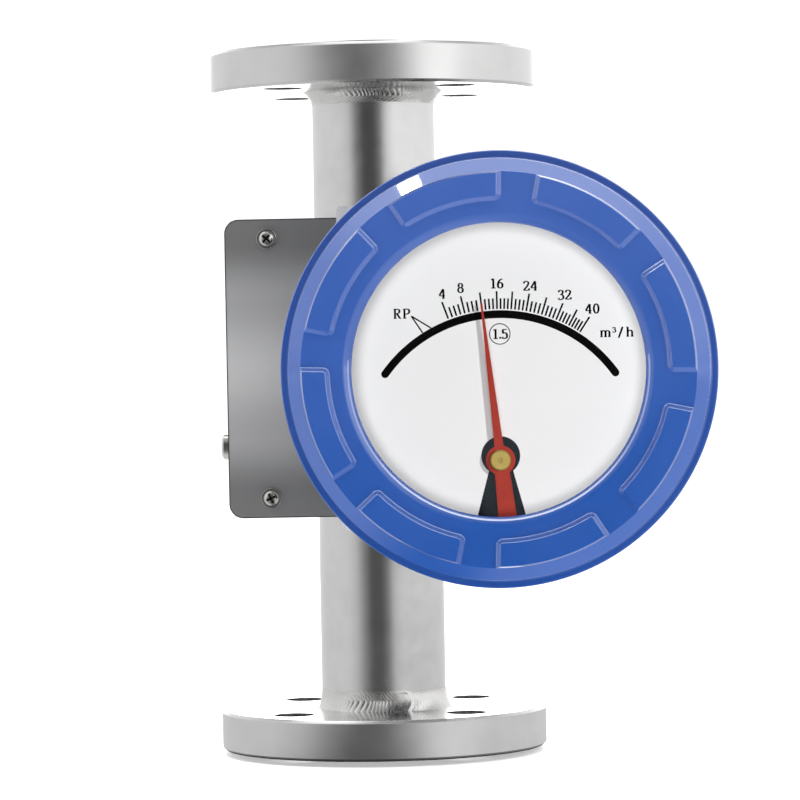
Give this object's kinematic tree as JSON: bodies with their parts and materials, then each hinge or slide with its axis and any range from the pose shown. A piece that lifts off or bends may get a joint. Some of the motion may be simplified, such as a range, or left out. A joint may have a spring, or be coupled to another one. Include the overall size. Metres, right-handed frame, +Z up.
{
  "type": "metal tube rotameter",
  "caption": "Flanged metal-tube rotameter: a float in an upright measuring tube moves, through magnets, the pointer of a round dial under a screw-on blue cover.",
  "frame": {"origin": "centre of the lower flange's sealing face, on the pipe axis", "axes": "+Z up the pipe axis in the direction of flow, -Y out of the dial towards the reader, +X to the reader's right"},
  "size_m": [0.1752, 0.1493, 0.25],
  "materials": {
    "machined_steel": "satin turned stainless steel",
    "tube_steel": "satin stainless tube and sheet",
    "weld_steel": "rippled weld metal, brushed clean",
    "plate_steel": "grey brushed stainless sheet",
    "inner_steel": "bright turned stainless steel",
    "bright_screws": "bright stainless fasteners",
    "magnet_black": "dark sintered magnet",
    "bare_aluminium": "bare milled aluminium",
    "blue_paint": "glossy blue enamel on cast aluminium",
    "dark_rubber": "black nitrile rubber",
    "window_glass": "clear toughened glass",
    "black_chassis": "black anodised aluminium",
    "white_dial": "white printed aluminium",
    "dial_ink": "black printing ink",
    "red_pointer": "red lacquered aluminium",
    "hub_brass": "turned brass",
    "plated_plug": "nickel-plated brass",
    "board_green": "green solder resist",
    "terminal_plastic": "green moulded plastic"
  },
  "bodies": {
    "meter_body": {"adapter_plate": "bare_aluminium", "adapter_screws": "bright_screws", "bearing_bridge": "plate_steel", "board_screws": "bright_screws", "board_standoffs": "bright_screws", "bridge_screws": "bright_screws", "casing_welds": "weld_steel", "chassis_plate": "black_chassis", "chassis_screws": "bright_screws", "dial_pillars": "bright_screws", "dial_plate": "white_dial", "dial_screws": "bright_screws", "earth_nut": "bright_screws", "earth_screw": "bright_screws", "earth_washer": "bright_screws", "entry_plug": "plated_plug", "entry_seal": "dark_rubber", "front_bearing": "hub_brass", "front_plate": "plate_steel", "housing": "blue_paint", "housing_screws": "bright_screws", "inlet_flange": "machined_steel", "inlet_welds": "weld_steel", "lower_guide": "inner_steel", "measuring_tube": "tube_steel", "metering_cone": "inner_steel", "outlet_flange": "machined_steel", "outlet_welds": "weld_steel", "plate_screws": "bright_screws", "plate_washers": "bright_screws", "rear_bearing": "hub_brass", "retaining_rings": "inner_steel", "scale_print": "dial_ink", "terminal_block": "terminal_plastic", "terminal_screws": "bright_screws", "transmitter_board": "board_green", "tube_casing": "tube_steel", "upper_guide": "inner_steel", "weld_nuts": "bright_screws"},
    "float": {"float_body": "inner_steel", "float_magnet": "magnet_black", "float_cap": "inner_steel"},
    "pointer": {"pointer": "red_pointer", "pointer_hub": "hub_brass", "pointer_shaft": "inner_steel", "magnet_holder": "hub_brass", "follower_magnet": "magnet_black"},
    "cover_seal": {"cover_o_ring": "dark_rubber"},
    "cover": {"cover": "blue_paint", "window_glass": "window_glass", "glass_gasket": "dark_rubber", "glass_retainer": "bare_aluminium"}
  },
  "joints": [
    {"name": "float_lift", "type": "slide", "parent": "meter_body", "child": "float", "axis": [0, 0, 1], "range_m": [-0.0156, 0.0269]},
    {"name": "pointer_turn", "type": "hinge", "parent": "meter_body", "child": "pointer", "pos_m": [0.0442, -0.0742, 0.1049], "axis": [0, 1, 0], "range_deg": [-25.2, 43.2]},
    {"name": "cover_travel", "type": "slide", "parent": "meter_body", "child": "cover_seal", "axis": [0, -1, 0], "range_m": [0, 0.01205]},
    {"name": "cover_turn", "type": "hinge", "parent": "cover_seal", "child": "cover", "pos_m": [0.0442, -0.078, 0.1354], "axis": [0, -1, 0], "range_deg": [0, 2160]}
  ],
  "couplings": [
    {"joint": "pointer_turn", "follows": "float_lift", "rad_per_m": 27.925},
    {"joint": "cover_travel", "follows": "cover_turn", "m_per_rad": 0.00031831}
  ]
}
